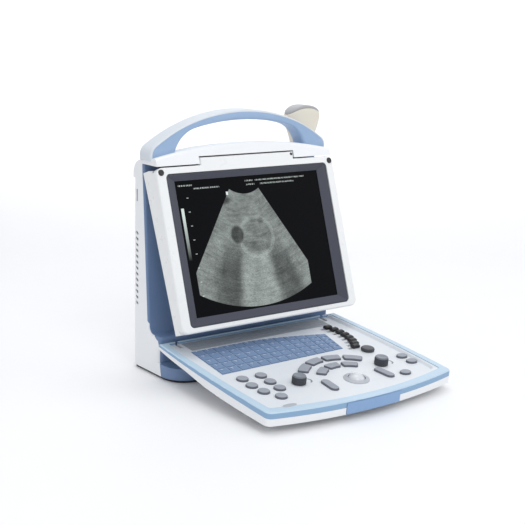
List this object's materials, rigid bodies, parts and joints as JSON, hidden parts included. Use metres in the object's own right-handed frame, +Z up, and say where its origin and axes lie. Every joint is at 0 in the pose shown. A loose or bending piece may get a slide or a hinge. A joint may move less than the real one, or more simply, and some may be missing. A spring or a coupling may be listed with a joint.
{
  "type": "ultrasound scanner",
  "caption": "Portable ultrasound scanner: upright case with arched handle, tilting monitor, fold-up keyboard with trackball and knobs, and a convex probe in a rear holder.",
  "frame": {"origin": "centre of the rubber base pad's lower face", "axes": "+Z up, the user stands on the -Y side, +X to the user's right"},
  "size_m": [0.3445, 0.3679, 0.3585],
  "materials": {
    "ball_white": "polished",
    "bezel_dark": "matt",
    "black_plastic": "fine matt texture",
    "board_green": "solder mask",
    "case_white": "satin moulded plastic",
    "cover_blue": "fine matt texture",
    "field_blue": "fine matt texture",
    "handle_blue": "fine matt texture",
    "handle_light": "soft matt grip",
    "key_blue": "fine matt texture",
    "key_grey": "matt silicone rubber",
    "latch_blue": "satin",
    "panel_white": "fine matt texture",
    "probe_beige": "satin",
    "probe_grey": "silicone lens",
    "rubber_dark": "matt",
    "screen_glass": "smooth screen face",
    "screw_steel": "zinc plated",
    "steel": "brushed",
    "strip_grey": "matt",
    "supply_metal": "plated sheet",
    "trim_blue": "satin"
  },
  "bodies": {
    "main_unit": {"rear_case": "case_white", "front_cover": "cover_blue", "base_pad": "rubber_dark", "top_cap": "case_white", "carry_handle": "handle_blue", "handle_top": "handle_light", "battery_door": "case_white", "battery_pack": "black_plastic", "main_board": "board_green", "power_supply": "supply_metal", "fan_housing": "black_plastic", "probe_sockets": "black_plastic", "mains_inlet": "black_plastic", "case_screws": "screw_steel", "monitor_hinges": "steel", "keyboard_hinges": "steel", "probe_holder": "case_white"},
    "monitor": {"monitor_frame": "case_white", "monitor_rear_cover": "case_white", "screen_bezel": "bezel_dark", "lcd_panel": "screen_glass", "corner_bumpers": "rubber_dark"},
    "keyboard": {"keyboard_tray": "case_white", "keyboard_trim": "trim_blue", "control_panel": "panel_white", "hinge_strip": "strip_grey", "key_bed": "field_blue", "keyboard_board": "board_green", "keyboard_feet": "rubber_dark", "trackball_ring": "key_grey"},
    "fan": {"fan_rotor": "black_plastic"},
    "probe": {"probe_body": "probe_beige", "probe_lens": "probe_grey"},
    "latch": {"latch": "latch_blue"},
    "trackball": {"trackball": "ball_white"},
    "encoder_left": {"encoder_left": "black_plastic"},
    "encoder_right": {"encoder_right": "black_plastic"},
    "gain_knob": {"gain_knob": "black_plastic"},
    "alphanumeric_keys": {"alphanumeric_keys": "key_blue"},
    "keys_right": {"keys_right": "key_grey"},
    "keys_arc_outer": {"keys_arc_outer": "key_grey"},
    "keys_arc_inner": {"keys_arc_inner": "key_grey"},
    "set_key_left": {"set_key_left": "key_grey"},
    "set_key_right": {"set_key_right": "key_grey"},
    "key_left_1": {"key_left_1": "key_grey"},
    "key_left_2": {"key_left_2": "key_grey"},
    "key_left_3": {"key_left_3": "key_grey"},
    "key_left_4": {"key_left_4": "key_grey"},
    "key_left_5": {"key_left_5": "key_grey"},
    "key_left_6": {"key_left_6": "key_grey"},
    "key_left_7": {"key_left_7": "key_grey"},
    "gain_slider_1": {"gain_slider_1": "black_plastic"},
    "gain_slider_2": {"gain_slider_2": "black_plastic"},
    "gain_slider_3": {"gain_slider_3": "black_plastic"},
    "gain_slider_4": {"gain_slider_4": "black_plastic"},
    "gain_slider_5": {"gain_slider_5": "black_plastic"},
    "gain_slider_6": {"gain_slider_6": "black_plastic"},
    "gain_slider_7": {"gain_slider_7": "black_plastic"},
    "gain_slider_8": {"gain_slider_8": "black_plastic"}
  },
  "joints": [
    {"name": "keyboard_fold", "type": "hinge", "parent": "main_unit", "child": "keyboard", "pos_m": [0, -0.0302, 0.0404], "axis": [-1, 0, 0], "range_deg": [0, 95.4]},
    {"name": "monitor_tilt", "type": "hinge", "parent": "main_unit", "child": "monitor", "pos_m": [0, 0.01261, 0.27456], "axis": [1, 0, 0], "range_deg": [0, 18.4]},
    {"name": "fan_spin", "type": "hinge", "parent": "main_unit", "child": "fan", "pos_m": [0.062, 0.044, 0.205], "axis": [0, 1, 0], "continuous": true},
    {"name": "probe_lift", "type": "slide", "parent": "main_unit", "child": "probe", "axis": [0, 0, 1], "range_m": [0, 0.06]},
    {"name": "latch_swing", "type": "hinge", "parent": "keyboard", "child": "latch", "pos_m": [0, -0.27862, 0.01189], "axis": [1, 0, 0], "range_deg": [0, 25], "stiffness_Nm_per_rad": 0.15, "springref_deg": -28.65},
    {"name": "trackball_roll", "type": "hinge", "parent": "keyboard", "child": "trackball", "pos_m": [0.0208, -0.22264, 0.02321], "axis": [1, 0, 0], "continuous": true},
    {"name": "encoder_left_turn", "type": "hinge", "parent": "keyboard", "child": "encoder_left", "pos_m": [-0.0585, -0.2015, 0.03023], "axis": [0, -0.0941, 0.9956], "continuous": true},
    {"name": "encoder_right_turn", "type": "hinge", "parent": "keyboard", "child": "encoder_right", "pos_m": [0.085, -0.20051, 0.03033], "axis": [0, -0.0941, 0.9956], "continuous": true},
    {"name": "gain_turn", "type": "hinge", "parent": "keyboard", "child": "gain_knob", "pos_m": [0.103, -0.15372, 0.03475], "axis": [0, -0.0941, 0.9956], "range_deg": [-135, 135]},
    {"name": "gain_slider_1_slide", "type": "slide", "parent": "keyboard", "child": "gain_slider_1", "axis": [1, 0, 0], "range_m": [-0.007, 0.007]},
    {"name": "gain_slider_2_slide", "type": "slide", "parent": "keyboard", "child": "gain_slider_2", "axis": [1, 0, 0], "range_m": [-0.007, 0.007]},
    {"name": "gain_slider_3_slide", "type": "slide", "parent": "keyboard", "child": "gain_slider_3", "axis": [1, 0, 0], "range_m": [-0.007, 0.007]},
    {"name": "gain_slider_4_slide", "type": "slide", "parent": "keyboard", "child": "gain_slider_4", "axis": [1, 0, 0], "range_m": [-0.007, 0.007]},
    {"name": "gain_slider_5_slide", "type": "slide", "parent": "keyboard", "child": "gain_slider_5", "axis": [1, 0, 0], "range_m": [-0.007, 0.007]},
    {"name": "gain_slider_6_slide", "type": "slide", "parent": "keyboard", "child": "gain_slider_6", "axis": [1, 0, 0], "range_m": [-0.007, 0.007]},
    {"name": "gain_slider_7_slide", "type": "slide", "parent": "keyboard", "child": "gain_slider_7", "axis": [1, 0, 0], "range_m": [-0.007, 0.007]},
    {"name": "gain_slider_8_slide", "type": "slide", "parent": "keyboard", "child": "gain_slider_8", "axis": [1, 0, 0], "range_m": [-0.007, 0.007]},
    {"name": "key_left_1_press", "type": "slide", "parent": "keyboard", "child": "key_left_1", "axis": [0, 0.0941, -0.9956], "range_m": [0, 0.0015], "stiffness_N_per_m": 400, "springref_m": -0.0015},
    {"name": "key_left_2_press", "type": "slide", "parent": "keyboard", "child": "key_left_2", "axis": [0, 0.0941, -0.9956], "range_m": [0, 0.0015], "stiffness_N_per_m": 400, "springref_m": -0.0015},
    {"name": "key_left_3_press", "type": "slide", "parent": "keyboard", "child": "key_left_3", "axis": [0, 0.0941, -0.9956], "range_m": [0, 0.0015], "stiffness_N_per_m": 400, "springref_m": -0.0015},
    {"name": "key_left_4_press", "type": "slide", "parent": "keyboard", "child": "key_left_4", "axis": [0, 0.0941, -0.9956], "range_m": [0, 0.0015], "stiffness_N_per_m": 400, "springref_m": -0.0015},
    {"name": "key_left_5_press", "type": "slide", "parent": "keyboard", "child": "key_left_5", "axis": [0, 0.0941, -0.9956], "range_m": [0, 0.0015], "stiffness_N_per_m": 400, "springref_m": -0.0015},
    {"name": "key_left_6_press", "type": "slide", "parent": "keyboard", "child": "key_left_6", "axis": [0, 0.0941, -0.9956], "range_m": [0, 0.0015], "stiffness_N_per_m": 400, "springref_m": -0.0015},
    {"name": "key_left_7_press", "type": "slide", "parent": "keyboard", "child": "key_left_7", "axis": [0, 0.0941, -0.9956], "range_m": [0, 0.0015], "stiffness_N_per_m": 400, "springref_m": -0.0015},
    {"name": "set_key_left_press", "type": "slide", "parent": "keyboard", "child": "set_key_left", "axis": [0, 0.0941, -0.9956], "range_m": [0, 0.0015], "stiffness_N_per_m": 400, "springref_m": -0.0015},
    {"name": "set_key_right_press", "type": "slide", "parent": "keyboard", "child": "set_key_right", "axis": [0, 0.0941, -0.9956], "range_m": [0, 0.0015], "stiffness_N_per_m": 400, "springref_m": -0.0015},
    {"name": "keys_right_press", "type": "slide", "parent": "keyboard", "child": "keys_right", "axis": [0, 0.0941, -0.9956], "range_m": [0, 0.0015], "stiffness_N_per_m": 400, "springref_m": -0.0015},
    {"name": "keys_arc_outer_press", "type": "slide", "parent": "keyboard", "child": "keys_arc_outer", "axis": [0, 0.0941, -0.9956], "range_m": [0, 0.0015], "stiffness_N_per_m": 400, "springref_m": -0.0015},
    {"name": "keys_arc_inner_press", "type": "slide", "parent": "keyboard", "child": "keys_arc_inner", "axis": [0, 0.0941, -0.9956], "range_m": [0, 0.0015], "stiffness_N_per_m": 400, "springref_m": -0.0015},
    {"name": "alphanumeric_keys_press", "type": "slide", "parent": "keyboard", "child": "alphanumeric_keys", "axis": [0, 0.0941, -0.9956], "range_m": [0, 0.0015], "stiffness_N_per_m": 2500, "springref_m": -0.0015}
  ],
  "couplings": [
    {"joint": "monitor_tilt", "follows": "keyboard_fold", "ratio": 0.19287}
  ]
}
